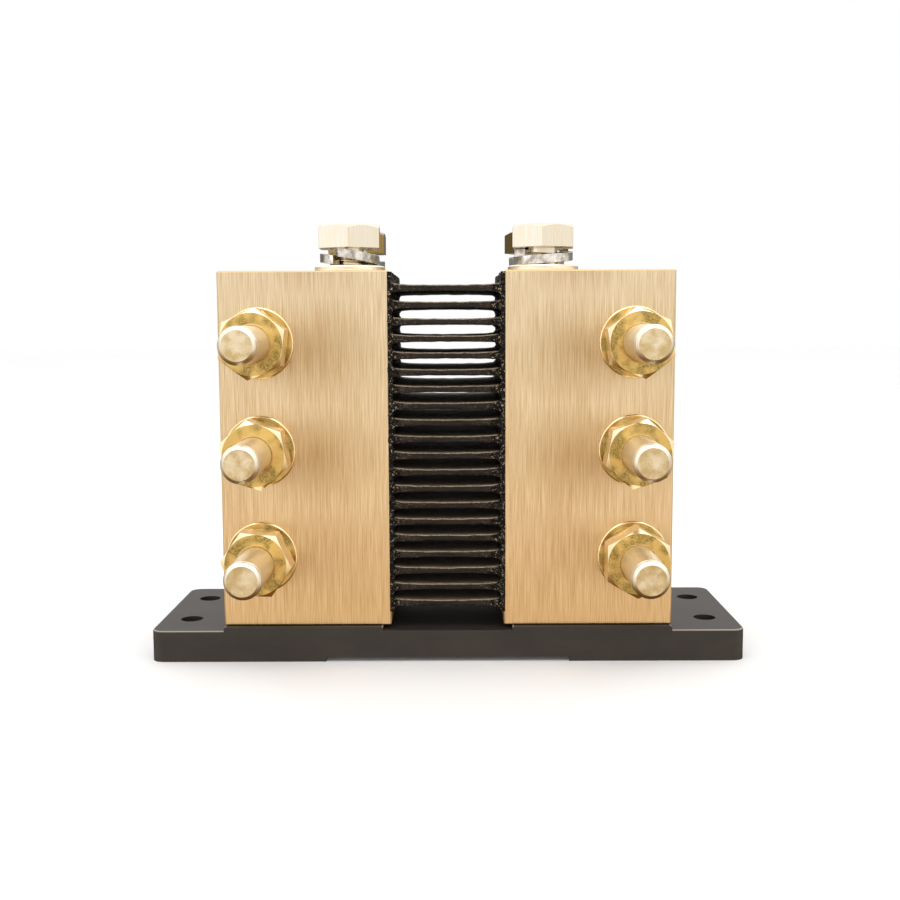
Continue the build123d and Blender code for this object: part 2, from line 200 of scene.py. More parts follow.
# ---------------------------------------------------------------- materials
def brushed_brass(finish):
    """Rolled brass bar, its faces brushed along the height and the top and bottom across.

    The eye sees fine streaks, a painted sheen that draws the brass paler towards the top, painted
    shadow and reflection of the nuts that darken the brass beside them, painted shade on the top and
    bottom chamfers, and a ragged edge of black paint beside the strips. Real brush lines are under a
    tenth of a millimetre apart, too fine to show, so they are drawn a fifth of a millimetre apart."""
    material, tree, output = start_material("brushed_brass_bar")
    coordinates = add_node(tree, "ShaderNodeTexCoord")
    place = coordinates.outputs["Object"]
    normal = add_node(tree, "ShaderNodeSeparateXYZ", inputs={"Vector": coordinates.outputs["Normal"]})
    flat_end = combine(tree, "GREATER_THAN", combine(tree, "ABSOLUTE", normal.outputs["Z"]), 0.9)
    across, along = finish.grain_width, finish.grain_length
    upright = pattern(tree, place, (across, across, along), detail=4.0, rough=0.65)
    lying = pattern(tree, place, (along, across, along), detail=4.0, rough=0.65)
    grain = add_node(tree, "ShaderNodeMix", inputs={0: flat_end, 2: upright, 3: lying}).outputs[0]
    coarse = pattern(tree, place, (3 * across, 3 * across, 2 * along), detail=2.0)
    cloud = pattern(tree, place, (18 * MM, 18 * MM, 26 * MM), detail=2.0, rough=0.5)

    spot = add_node(tree, "ShaderNodeSeparateXYZ", inputs={"Vector": place})
    # Painted sheen: the brass is drawn paler towards the top, where the light falls, and deeper gold at the
    # foot.
    height = remap(tree, spot.outputs["Z"], BLOCK_LOW.z, BLOCK_HIGH.z)
    body = blend_colours(tree, height, rgba(finish.shaded_foot_colour), rgba(finish.sheen_top_colour))
    streak = rgba(finish.streak_colour)
    streaked = blend_colours(tree, remap(tree, grain, 0.36, 0.66, 0.0, 1.0), body, streak, "MULTIPLY")
    banded = blend_colours(tree, remap(tree, coarse, 0.35, 0.7, 0.0, 0.3), streaked, streak, "MULTIPLY")
    toned = blend_colours(tree, remap(tree, cloud, 0.35, 0.7, 0.0, 0.12), banded, streak, "MULTIPLY")
    # Painted shade: the chamfers along the top and bottom edges are drawn darker than the faces.
    upward = combine(tree, "ABSOLUTE", normal.outputs["Z"])
    edge = combine(tree, "MULTIPLY", combine(tree, "GREATER_THAN", upward, 0.2),
                   combine(tree, "LESS_THAN", upward, 0.9))
    # Painted shadow and reflection of the nuts: the brass is drawn darker on the inner side of each nut. The
    # patches repeat at the bolts' pitch.
    lowest = bolt_place("right", "bottom").translation.z
    half_pitch = (bolt_place("right", "top").translation.z - lowest) / 4
    sag = 2 * MM
    beside = combine(tree, "SUBTRACT", combine(tree, "ABSOLUTE", spot.outputs["X"]), finish.nut_shade_place)
    above_patch = combine(tree, "SUBTRACT", spot.outputs["Z"], lowest - sag)
    between = combine(tree, "PINGPONG", above_patch, half_pitch)
    apart = combine(tree, "SQRT", combine(tree, "ADD", combine(tree, "MULTIPLY", beside, beside),
                                          combine(tree, "MULTIPLY", between, between)))
    wide = combine(tree, "ADD", apart, combine(tree, "MULTIPLY", cloud, 6 * MM))
    by_height = remap(tree, spot.outputs["Z"], lowest, lowest + 20 * MM, 0.3, 1.0)
    painted_nut_shade = combine(tree, "MULTIPLY", remap(tree, wide, 20 * MM, 2 * MM),
                    combine(tree, "MULTIPLY", by_height, finish.dulled))
    nut_shaded = blend_colours(tree, painted_nut_shade, toned, rgba(finish.nut_shade_colour), "MULTIPLY")
    # Painted shade on the chamfers, laid over the brass.
    broken = blend_colours(tree, edge, nut_shaded, rgba(finish.edge_lighting_colour))
    metal = add_node(tree, "ShaderNodeBsdfPrincipled", inputs={
        "Base Color": broken,
        "Metallic": 1.0,
        "Roughness": remap(tree, grain, 0.3, 0.7, 0.34, 0.44),
        "Anisotropic": 0.6,
        "Normal": relief(tree, grain, 0.03 * MM, 0.4),
    }).outputs["BSDF"]

    # Paint from the brazed joint laps the faces that meet it.
    from_middle = combine(tree, "ABSOLUTE", spot.outputs["X"])
    ragged = pattern(tree, place, (0.6 * MM, 0.6 * MM, 1.1 * MM), detail=3.0, rough=0.7)
    reach = combine(tree, "ADD", INNER_FACE - 0.2 * MM, combine(tree, "MULTIPLY", ragged, finish.paint_lap))
    inside = combine(tree, "LESS_THAN", from_middle, reach)
    above_foot = combine(tree, "GREATER_THAN", spot.outputs["Z"], BRAZE_LOW.z)
    paint = add_node(tree, "ShaderNodeBsdfPrincipled", inputs={
        "Base Color": rgba(finish.lap_colour),
        "Roughness": 0.5,
        "Specular IOR Level": 0.2,
    }).outputs["BSDF"]
    mixed = add_node(tree, "ShaderNodeMixShader", inputs={
        0: combine(tree, "MULTIPLY", inside, above_foot),
        1: metal,
        2: paint,
    })
    tree.links.new(mixed.outputs[0], output.inputs["Surface"])
    return material


def turned_brass(finish, axis):
    """Free-cutting brass turned on a lathe: pale gold sides, and ends mottled cream and tan.

    Real lathe marks are about a tenth of a millimetre apart, and are drawn coarser so that they show."""
    material, tree, output = start_material(f"turned_brass_{axis}")
    coordinates = add_node(tree, "ShaderNodeTexCoord")
    place = coordinates.outputs["Object"]
    normal = add_node(tree, "ShaderNodeSeparateXYZ", inputs={"Vector": coordinates.outputs["Normal"]})
    end_face = combine(tree, "GREATER_THAN", combine(tree, "ABSOLUTE", normal.outputs[axis.upper()]), 0.9)
    cell = [6 * MM, 6 * MM, 6 * MM]
    cell["xyz".index(axis)] = finish.turning_pitch
    rings = pattern(tree, place, cell, detail=2.0)
    cloud = pattern(tree, place, (3.2 * MM, 3.2 * MM, 3.2 * MM), detail=3.0)
    side = blend_colours(tree, remap(tree, rings, 0.35, 0.65, 0.0, 0.35), rgba(finish.side_colour),
                         rgba(finish.deep_colour))
    mottle = blend_colours(tree, remap(tree, cloud, 0.38, 0.62), rgba(finish.end_colour),
                           rgba(finish.tan_colour))
    shader = add_node(tree, "ShaderNodeBsdfPrincipled", inputs={
        "Base Color": blend_colours(tree, end_face, side, mottle),
        "Metallic": 1.0,
        "Roughness": remap(tree, cloud, 0.3, 0.7, 0.34, 0.44),
        "Normal": relief(tree, combine(tree, "MULTIPLY", rings, combine(tree, "SUBTRACT", 1.0, end_face)),
                         0.12 * MM, 1.0),
    })
    tree.links.new(shader.outputs["BSDF"], output.inputs["Surface"])
    return material


def tumbled_brass(finish, axis):
    """Hexagon nuts cut from bar and tumbled: flats are bright; end faces are speckled and stained, and drawn
    deep gold as a painted reflection of the brass around them.
    """
    material, tree, output = start_material(f"tumbled_brass_{axis}")
    coordinates = add_node(tree, "ShaderNodeTexCoord")
    place = coordinates.outputs["Object"]
    normal = add_node(tree, "ShaderNodeSeparateXYZ", inputs={"Vector": coordinates.outputs["Normal"]})
    end_face = combine(tree, "GREATER_THAN", combine(tree, "ABSOLUTE", normal.outputs[axis.upper()]), 0.97)
    speckle = pattern(tree, place, (finish.speckle,) * 3, detail=3.0, rough=0.75)
    pits = remap(tree, speckle, 0.42, 0.62)
    cloud = pattern(tree, place, (5 * MM, 5 * MM, 5 * MM), detail=1.0)
    stained = combine(tree, "MULTIPLY", remap(tree, pits, 0.0, 1.0, 0.35, 1.0),
                      remap(tree, cloud, 0.42, 0.56))
    # Painted reflection: end faces drawn deep gold, as brass mirrored in brass looks; the stains and pits on
    # them are the nut's own.
    dulled = blend_colours(tree, stained, rgba(finish.gold_reflection_colour), rgba(finish.dull_colour))
    colour = blend_colours(tree, end_face, rgba(finish.bright_colour), dulled)
    flat_rough = remap(tree, speckle, 0.3, 0.7, 0.14, 0.24)
    end_rough = remap(tree, speckle, 0.3, 0.7, 0.22, 0.4)
    rough = add_node(tree, "ShaderNodeMix", inputs={0: end_face, 2: flat_rough, 3: end_rough}).outputs[0]
    shader = add_node(tree, "ShaderNodeBsdfPrincipled", inputs={
        "Base Color": colour,
        "Metallic": 1.0,
        "Roughness": rough,
        "Normal": relief(tree, combine(tree, "MULTIPLY", speckle, end_face), 0.04 * MM, 0.6),
    })
    tree.links.new(shader.outputs["BSDF"], output.inputs["Surface"])
    return material


def drawn_brass(name, pale, deep):
    """Brass bar drawn through a die, with fine lines along the screw, in a pale lit copy and a darker copy
    with painted shade.

    Real die lines are finer than these, which are as coarse as they need to be to show."""
    material, tree, output = start_material(name)
    place = object_place(tree)
    lines = pattern(tree, place, (0.25 * MM, 0.25 * MM, 9 * MM), detail=3.0)
    colour = blend_colours(tree, remap(tree, lines, 0.35, 0.65, 0.0, 0.5), rgba(pale), rgba(deep))
    shader = add_node(tree, "ShaderNodeBsdfPrincipled", inputs={
        "Base Color": colour,
        "Metallic": 1.0,
        "Roughness": remap(tree, lines, 0.3, 0.7, 0.16, 0.26),
        "Normal": relief(tree, lines, 0.012 * MM, 0.3),
    })
    tree.links.new(shader.outputs["BSDF"], output.inputs["Surface"])
    return material


def plated_steel(name, colour, patch_colour, rough):
    """Hard steel under thin bright plating: silver, with dark patches a few millimetres across."""
    material, tree, output = start_material(name)
    place = object_place(tree)
    scuffs = pattern(tree, place, (2.6 * MM, 2.6 * MM, 2.6 * MM), detail=3.0, rough=0.6)
    shade = blend_colours(tree, remap(tree, scuffs, 0.4, 0.62, 0.0, 0.6), rgba(colour), rgba(patch_colour))
    shader = add_node(tree, "ShaderNodeBsdfPrincipled", inputs={
        "Base Color": shade,
        "Metallic": 1.0,
        "Roughness": remap(tree, scuffs, 0.3, 0.7, rough, rough + 0.12),
        "Normal": relief(tree, scuffs, 0.01 * MM, 0.3),
    })
    tree.links.new(shader.outputs["BSDF"], output.inputs["Surface"])
    return material


def strip_paint(finish):
    """Black insulating paint brushed on resistance metal: satin, streaky, worn brown in places."""
    material, tree, output = start_material("brushed_on_paint")
    coordinates = add_node(tree, "ShaderNodeTexCoord")
    place = coordinates.outputs["Object"]
    strokes = pattern(tree, place, (7 * MM, 0.8 * MM, 0.8 * MM), detail=3.0)
    specks = pattern(tree, place, (0.7 * MM, 0.5 * MM, 0.4 * MM), detail=3.0, rough=0.75)
    spot = add_node(tree, "ShaderNodeSeparateXYZ", inputs={"Vector": place})
    normal = add_node(tree, "ShaderNodeSeparateXYZ", inputs={"Vector": coordinates.outputs["Normal"]})
    toward_ends = remap(tree, combine(tree, "ABSOLUTE", spot.outputs["X"]), 4 * MM, INNER_FACE)
    worn = remap(tree, combine(tree, "ADD", specks, combine(tree, "MULTIPLY", toward_ends, 0.1)), 0.62, 0.7)
    # Painted highlight on the rounded top edge, which faces half up and catches the light.
    edge = combine(tree, "MULTIPLY", remap(tree, normal.outputs["Z"], 0.2, 0.45),
                   remap(tree, normal.outputs["Z"], 0.97, 0.8))
    thin = combine(tree, "MULTIPLY", edge, remap(tree, specks, 0.38, 0.55, 0.25, 1.0))
    base = blend_colours(tree, remap(tree, strokes, 0.35, 0.7), rgba(finish.paint_colour),
                         rgba(finish.thin_colour))
    scuffed = blend_colours(tree, worn, base, rgba(finish.worn_colour))
    # Painted sheen on the broad upper faces, which face the light: brown streaks along the strip.
    upper_sheen = combine(tree, "MULTIPLY", combine(tree, "GREATER_THAN", normal.outputs["Z"], 0.9),
                    remap(tree, strokes, 0.36, 0.6, 0.35, 1.0))
    streaked = blend_colours(tree, upper_sheen, scuffed, rgba(finish.upper_sheen_colour))
    # Painted highlight along the upper edges, laid over the paint.
    colour = blend_colours(tree, thin, streaked, rgba(finish.edge_lighting_colour))
    shader = add_node(tree, "ShaderNodeBsdfPrincipled", inputs={
        "Base Color": colour,
        "Roughness": remap(tree, strokes, 0.3, 0.7, 0.35, 0.55),
        "Specular IOR Level": 0.16,
        "Normal": relief(tree, specks, 0.12 * MM, 0.5),
    })
    tree.links.new(shader.outputs["BSDF"], output.inputs["Surface"])
    return material


def painted_braze(finish):
    """Silver braze left rough and painted over: crusty black-brown with pale glints on its high spots."""
    material, tree, output = start_material("painted_braze_crust")
    place = object_place(tree)
    crust = pattern(tree, place, (0.9 * MM, 0.9 * MM, 0.9 * MM), detail=4.0, rough=0.75)
    grit = pattern(tree, place, (0.3 * MM, 0.3 * MM, 0.3 * MM), detail=2.0, rough=0.7, offset=(3, 1, 2))
    bare = remap(tree, combine(tree, "MULTIPLY", crust, grit), 0.32, 0.36)
    brown = remap(tree, crust, 0.45, 0.75, 0.0, 0.8)
    base = blend_colours(tree, brown, rgba(finish.crust_colour), rgba(finish.thin_colour))
    colour = blend_colours(tree, bare, base, rgba(finish.bare_colour))
    lumps = combine(tree, "ADD", crust, combine(tree, "MULTIPLY", grit, 0.5))
    shader = add_node(tree, "ShaderNodeBsdfPrincipled", inputs={
        "Base Color": colour,
        "Roughness": remap(tree, grit, 0.3, 0.7, 0.32, 0.55),
        "Metallic": combine(tree, "MULTIPLY", bare, 0.5),
        "Specular IOR Level": 0.1,
        "Normal": relief(tree, lumps, 0.5 * MM, 0.9),
    })
    tree.links.new(shader.outputs["BSDF"], output.inputs["Surface"])
    return material


def moulded_plastic(finish):
    """Glass-filled nylon, moulded: near black, warm, with the matt grain of a spark-eroded mould."""
    material, tree, output = start_material("moulded_black_nylon")
    coordinates = add_node(tree, "ShaderNodeTexCoord")
    place = coordinates.outputs["Object"]
    grain = pattern(tree, place, (finish.texture_grain,) * 3, detail=2.0)
    cloud = pattern(tree, place, (14 * MM, 9 * MM, 6 * MM), detail=2.0)
    body = blend_colours(tree, remap(tree, cloud, 0.3, 0.7), rgba(finish.plastic_colour),
                         rgba(finish.faded_colour))
    # Painted highlight: the rounded upper edges, which face half up, are drawn paler.
    normal = add_node(tree, "ShaderNodeSeparateXYZ", inputs={"Vector": coordinates.outputs["Normal"]})
    edge = combine(tree, "MULTIPLY", remap(tree, normal.outputs["Z"], 0.3, 0.6),
                   remap(tree, normal.outputs["Z"], 0.98, 0.85))
    colour = blend_colours(tree, edge, body, rgba(finish.edge_lighting_colour))
    shader = add_node(tree, "ShaderNodeBsdfPrincipled", inputs={
        "Base Color": colour,
        "Roughness": remap(tree, grain, 0.3, 0.7, 0.42, 0.56),
        "Normal": relief(tree, grain, 0.03 * MM, 0.5),
    })
    tree.links.new(shader.outputs["BSDF"], output.inputs["Surface"])
    return material


# ---------------------------------------------------------------- shaping
def turned(outline, segments=72, closed=False):
    """Solid of revolution about +Z from (radius, height) points in metres."""
    bm = bmesh.new()
    verts = [bm.verts.new((radius, 0, height)) for radius, height in outline]
    pairs = list(zip(verts, verts[1:]))
    if closed:
        pairs.append((verts[-1], verts[0]))
    edges = [bm.edges.new(pair) for pair in pairs]
    bmesh.ops.spin(bm, geom=verts + edges, cent=(0, 0, 0), axis=(0, 0, 1), angle=math.tau,
                   steps=segments, use_merge=True)
    bmesh.ops.remove_doubles(bm, verts=bm.verts, dist=1e-7)
    bmesh.ops.recalc_face_normals(bm, faces=bm.faces)
    return bm


def cut_flats(bm, across_flats, turn):
    """Cuts a turned head or nut to a hexagon with a corner at the given turn from +X."""
    for side in range(6):
        angle = turn + math.radians(30 + 60 * side)
        outward = Vector((math.cos(angle), math.sin(angle), 0))
        cut = bmesh.ops.bisect_plane(bm, geom=bm.verts[:] + bm.edges[:] + bm.faces[:], dist=1e-7,
                                     plane_co=outward * across_flats / 2, plane_no=outward, clear_outer=True)
        rim = [item for item in cut["geom_cut"] if isinstance(item, bmesh.types.BMEdge)]
        bmesh.ops.contextual_create(bm, geom=rim)
    bmesh.ops.recalc_face_normals(bm, faces=bm.faces)
    return bm


def sweep_ring(bm, section, angle, steps, rise=0.0, start=0.0):
    """Turns a closed (radius, height) section about +Z into a bar with closed ends, climbing by rise."""
    verts = [bm.verts.new((radius, 0, height)) for radius, height in section]
    cap = bm.faces.new(verts)
    bmesh.ops.rotate(bm, verts=verts, cent=(0, 0, 0), matrix=Matrix.Rotation(start, 3, "Z"))
    bmesh.ops.spin(bm, geom=[cap], cent=(0, 0, 0), axis=(0, 0, 1), dvec=(0, 0, rise / steps), angle=angle,
                   steps=steps, use_merge=False)
    bmesh.ops.recalc_face_normals(bm, faces=bm.faces)
    return bm


def slice_box(bm, low, high, counts):
    """Cuts a box with evenly spaced planes along X, Y and Z, so that its faces can be shaped."""
    for axis, count in enumerate(counts):
        normal = Vector([float(axis == i) for i in range(3)])
        for step in range(1, count):
            place = low.lerp(high, step / count)
            bmesh.ops.bisect_plane(bm, geom=bm.verts[:] + bm.edges[:] + bm.faces[:], dist=1e-8,
                                   plane_co=place, plane_no=normal)
    return bm


def box_between(low, high):
    """A bmesh box from its lowest to its highest corner."""
    bm = bmesh.new()
    bmesh.ops.create_cube(bm, size=1.0)
    bmesh.ops.scale(bm, vec=high - low, verts=bm.verts)
    bmesh.ops.translate(bm, vec=(low + high) / 2, verts=bm.verts)
    return bm


def wander(x, y, z, scale, seed):
    """Smooth noise from -1 to 1 that changes over about scale metres."""
    return noise.noise(Vector((x / scale + 17.3 * seed, y / scale - 9.1 * seed, z / scale + 4.7 * seed)))


def make_piece(name, bm, material, body, replaced, soft_edge=0.0, sharp=30):
    """Turns a bmesh into a finished piece that rides on its body in place of its CAD nodes."""
    mesh = bpy.data.meshes.new(name)
    bm.to_mesh(mesh)
    bm.free()
    mesh.materials.append(material)
    mesh.shade_smooth()
    mesh.set_sharp_from_angle(angle=math.radians(sharp))
    piece = bpy.data.objects.new(name, mesh)
    bpy.context.scene.collection.objects.link(piece)
    if soft_edge:
        bevel = piece.modifiers.new("soft_edges", "BEVEL")
        bevel.width = soft_edge
        bevel.segments = 2
        bevel.limit_method = "ANGLE"
        bevel.angle_limit = math.radians(sharp)
        bevel.harden_normals = True
    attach(piece, body)
    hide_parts(*replaced)
    return piece


def finish_node(name, material):
    """Gives a CAD node its material."""
    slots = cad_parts[name].data.materials
    slots.clear()
    slots.append(material)


def join_copies(shape, places):
    """One bmesh that holds the same shape at several places."""
    whole = bmesh.new()
    for place in places:
        copy = shape()
        copy.transform(place)
        part = bpy.data.meshes.new("copy")
        copy.to_mesh(part)
        copy.free()
        whole.from_mesh(part)
        bpy.data.meshes.remove(part)
    return whole


# ---------------------------------------------------------------- places
def bolt_place(side, level):
    """Where a terminal bolt leaves the block's front face, its own +Z turned to -Y."""
    low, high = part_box(f"terminal_nut_{side}_{level}")
    middle = (low + high) / 2
    return Matrix.Translation((middle.x, FRONT_FACE, middle.z)) @ Matrix.Rotation(math.pi / 2, 4, "X")


def sense_place(side, row):
    """Where a sense screw enters the top of its block."""
    low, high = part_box(f"sense_spring_washer_{side}_{row}")
    middle = (low + high) / 2
    return Matrix.Translation((middle.x, middle.y, BLOCK_HIGH.z))


def raised(height, turn=0.0):
    """A move along a fastener's own axis, and a turn about it in degrees."""
    return Matrix.Translation((0, 0, height)) @ Matrix.Rotation(math.radians(turn), 4, "Z")


# ---------------------------------------------------------------- sizes and colours
def swatch(name, description, hex_colour):
    """A colour setting whose default is an sRGB hex colour."""
    return FloatVectorProperty(name=name, description=description, subtype="COLOR", size=3, min=0, max=1,
                               default=linear(hex_colour))


def distance(name, description, millimetres):
    """A length setting whose default is in millimetres."""
    return FloatProperty(name=name, description=description, subtype="DISTANCE", unit="LENGTH",
                         default=millimetres * MM)


class BlockFinish(bpy.types.PropertyGroup):
    """Brushed brass of the two blocks."""
    # Painted sheen: the top colour is paler and the foot colour deeper, as the light falls.
    sheen_top_colour: swatch("Top colour", "Brass near the top of the block", "#FFEFD2")
    shaded_foot_colour: swatch("Bottom colour", "Brass near the foot of the block", "#FFE0B2")
    streak_colour: swatch("Streak colour", "Tint of the brushed streaks", "#DDCFB6")
    # Painted shadow and reflection of the nuts: how much darker the faces beside them are drawn, where, and
    # in what colour.
    dulled: FloatProperty(
        name="Dulled", description="How much duller the faces are beside the nuts", default=0.5,
        min=0, max=1)
    nut_shade_place: distance("Dulled place", "Middle of the dulled strip from the shunt's centre", 36)
    nut_shade_colour: swatch("Dulled colour", "Brass of the dull patches", "#BE9C62")
    # Painted shade on the chamfers along the top and bottom edges.
    edge_lighting_colour: swatch("Edge colour", "Broken upper and lower edges", "#C9AB7C")
    grain_width: distance("Grain width", "Spacing of the brushed streaks", 0.2)
    grain_length: distance("Grain length", "Length of one streak", 13)
    lap_colour: swatch("Lapped paint", "Paint that laps on to the faces", "#2A2119")
    paint_lap: distance("Paint lap", "How far paint laps on to the faces", 0.5)


class HardwareFinish(bpy.types.PropertyGroup):
    """Bolts, nuts, screws and washers."""
    bright_colour: swatch("Bright brass", "Clean cut brass", "#F5E0B6")
    side_colour: swatch("Turned sides", "Sides of the bolts", "#FFF6E4")
    # Lit and shaded copies of the sense screws' brass: pale for the front screws, painted shade for the back
    # ones.
    lit_front_colour: swatch("Pale brass", "Flats of the front sense screws", "#E9E1D2")
    back_shade_colour: swatch("Tarnished brass", "Flats of the back sense screws", "#9A8250")
    deep_colour: swatch("Deep brass", "Brass in the tool marks", "#E8D2A6")
    end_colour: swatch("End face", "Pale part of the bolts' ends", "#F6E6C6")
    tan_colour: swatch("End stain", "Tan part of the bolts' ends", "#D9C08C")
    # Painted reflection of the brass around the end faces.
    gold_reflection_colour: swatch("Gold end face", "Clean end faces of the nuts", "#E8C478")
    dull_colour: swatch("Dull brass", "Stained, speckled parts of the nuts' end faces", "#86743F")
    spring_colour: swatch("Spring steel", "Plated spring washers", "#F4EEE4")
    patch_colour: swatch("Dark patch", "Darker patches of the steel", "#4A4238")
    zinc_colour: swatch("Zinc plate", "Countersunk screws under the base", "#C9CBCB")
    turning_pitch: distance("Turning pitch", "Spacing of the lathe marks", 0.3)
    speckle: distance("Speckle", "Size of the pits in the end faces", 0.35)
    across_flats: distance("Across flats", "Width of every hexagon", 17)
    face_radius: distance("Face radius", "Round flat inside the corner chamfer", 8.1)
    nut_face_inset: distance("Nut face inset", "Round flat of a nut's end face inside its flats", 0.05)
    chamfer_angle: FloatProperty(
        name="Chamfer angle", description="Slope of the corner chamfer", subtype="ANGLE",
        default=math.radians(30))
    soft_edge: distance("Soft edge", "Rounding that tumbling leaves", 0.16)
    tumbled_edge: distance("Tumbled edge", "Rounding of the nuts' edges", 0.5)
    thread_radius: distance("Thread radius", "Outer radius of the M10 thread", 5)
    thread_pitch: distance("Thread pitch", "Rise of the M10 thread in one turn", 1.5)
    head_height: distance("Head height", "Height of the hexagon heads", 6.4)
    spring_cut: distance("Spring cut", "Gap between a spring washer's ends", 1.2)


class StripFinish(bpy.types.PropertyGroup):
    """Painted strips and their brazed joints."""
    paint_colour: swatch("Paint", "Full coat of black paint", "#1A1613")
    thin_colour: swatch("Thin paint", "Paint where the brush drew it thin", "#2E261F")
    worn_colour: swatch("Worn paint", "Strip showing through worn paint", "#6E5C48")
    # Painted highlight along the strips' rounded upper edges.
    edge_lighting_colour: swatch("Edge", "Thin paint along a strip's upper edges", "#A8957C")
    # Painted sheen on the strips' upper faces.
    upper_sheen_colour: swatch("Broad faces", "Thin streaky paint on the strips' upper faces", "#85735F")
    crust_colour: swatch("Crust", "Paint in the hollows of the braze", "#0F0C0A")
    bare_colour: swatch("Bare braze", "Braze where it breaks through", "#B9A88E")
    soft_edge: distance("Soft edge", "Rounding that the paint gives a strip's edges", 0.35)
    waviness: distance("Waviness", "Unevenness of the paint", 0.12)
    swell: distance("Swell", "Thickening of a strip towards its joints", 0.78)
    crust: distance("Crust", "Unevenness of the braze", 0.45)
    fillet: distance("Fillet", "Braze drawn out along each strip", 1.45)
    slices: IntProperty(
        name="Slices", description="Cuts along a strip", default=56, min=8, max=120)


class BaseFinish(bpy.types.PropertyGroup):
    """Moulded base."""
    plastic_colour: swatch("Plastic", "Body colour of the moulding", "#2A2420")
    faded_colour: swatch("Faded plastic", "Slightly paler flow marks", "#332C27")
    # Painted highlight along the rounded upper edges.
    edge_lighting_colour: swatch("Polished edge", "Paler rounded upper edges", "#A39685")
    texture_grain: distance("Mould grain", "Size of the mould's matt texture", 0.25)


class StageSetting(bpy.types.PropertyGroup):
    """Camera, floor and lights."""
    camera_place: FloatVectorProperty(
        name="Camera place", description="Where the camera stands", subtype="TRANSLATION", size=3,
        default=(2.4 * MM, -353.6 * MM, 95.5 * MM))
    camera_turn: FloatProperty(
        name="Camera turn", description="Turn to the left of +Y", subtype="ANGLE", default=math.radians(0.27))
    camera_tilt: FloatProperty(
        name="Camera tilt", description="Tilt below level", subtype="ANGLE", default=math.radians(6.15))
    camera_roll: FloatProperty(
        name="Camera roll", description="Roll about the line of sight", subtype="ANGLE",
        default=math.radians(-0.25))
    lens: FloatProperty(
        name="Lens", description="Focal length on a 36 mm sensor, in millimetres", default=47.2)
    floor_size: FloatProperty(
        name="Floor size", description="Side of the floor", unit="LENGTH", default=8.0)


# ---------------------------------------------------------------- outlines
def chamfer_drop(sizes):
    """Height of a hexagon's corner chamfer at its corners."""
    corner = sizes.across_flats / math.sqrt(3)
    return (corner - sizes.face_radius) * math.tan(sizes.chamfer_angle)


def terminal_bolt_shape(sizes, tip, foot, turn):
    """Bolt along +Z: z = 0 at the block's face, a faint thread start behind the tip, and a centre mark."""
    radius = sizes.thread_radius
    corner = sizes.across_flats / math.sqrt(3)
    seat = foot + sizes.head_height
    drop = chamfer_drop(sizes)
    outline = [(0, tip - 0.1 * MM), (0.5 * MM, tip - 0.12 * MM), (0.9 * MM, tip)]
    outline += [(ring * MM, tip) for ring in (1.3, 1.8, 2.3, 2.8, 3.3, 3.7)]
    outline += [
        (radius - 1.0 * MM, tip),
        (radius - 0.25 * MM, tip - 0.7 * MM),
        (radius, tip - 1.15 * MM),
        (radius, tip - 1.7 * MM),
        (radius - 0.16 * MM, tip - 1.85 * MM),
        (radius - 0.16 * MM, tip - 2.0 * MM),
        (radius, tip - 2.15 * MM),
        (radius, seat),
        (corner, seat),
        (corner, foot + drop),
        (sizes.face_radius, foot),
        (0, foot),
    ]
    bm = cut_flats(turned(outline), sizes.across_flats, math.radians(turn))
    for vert in bm.verts:
        if vert.co.z > tip - 0.05 * MM:
            dent = wander(vert.co.x, vert.co.y, 0, 2.6 * MM, turn)
            vert.co.z += 0.12 * MM * (dent - 0.6)
    return bm


def nut_shape(sizes, bore, height, turn):
    """Hexagon nut on z = 0, chamfered at both ends and countersunk round its thread."""
    corner = sizes.across_flats / math.sqrt(3)
    face = sizes.across_flats / 2 - sizes.nut_face_inset
    drop = (corner - face) * math.tan(sizes.chamfer_angle)
    sink = 0.4 * MM
    outline = [
        (bore, sink),
        (bore + sink, 0),
        (face, 0),
        (corner, drop),
        (corner, height - drop),
        (face, height),
        (bore + sink, height),
        (bore, height - sink),
    ]
    return cut_flats(turned(outline, closed=True), sizes.across_flats, math.radians(turn))


def sense_screw_shape(sizes, length, turn):
    """Hexagon head on z = 0 over a threaded shank with a pointed thread start."""
    corner = sizes.across_flats / math.sqrt(3)
    drop = chamfer_drop(sizes)
    crest = sizes.thread_radius - 0.05 * MM
    thread_depth = 0.85 * MM
    root = crest - thread_depth
    outline = [
        (0, sizes.head_height),
        (sizes.face_radius, sizes.head_height),
        (corner, sizes.head_height - drop),
        (corner, 0),
        (root, 0),
        (root, 0.9 * MM - length),
        (root - 0.8 * MM, -length),
        (0, -length),
    ]
    bm = cut_flats(turned(outline), sizes.across_flats, math.radians(turn))
    pitch = sizes.thread_pitch
    plain_tip = 2.5 * MM
    turns = math.floor((length - plain_tip) / pitch)
    ridge = [
        (root - 0.1 * MM, -0.42 * pitch),
        (crest, -0.06 * pitch),
        (crest, 0.06 * pitch),
        (root - 0.1 * MM, 0.42 * pitch),
    ]
    start = -0.9 * MM
    section = [(radius, height + start) for radius, height in ridge]
    return sweep_ring(bm, section, math.tau * turns, 40 * turns, rise=-pitch * turns)


def flat_washer_shape(sizes, radius, thickness):
    """Turned washer on z = 0 with its outer edge broken on the upper side."""
    bore = sizes.thread_radius + 0.25 * MM
    edge = 0.3 * MM
    outline = [
        (bore, 0),
        (radius, 0),
        (radius, thickness - edge),
        (radius - edge, thickness),
        (bore, thickness),
    ]
    return turned(outline, segments=96, closed=True)


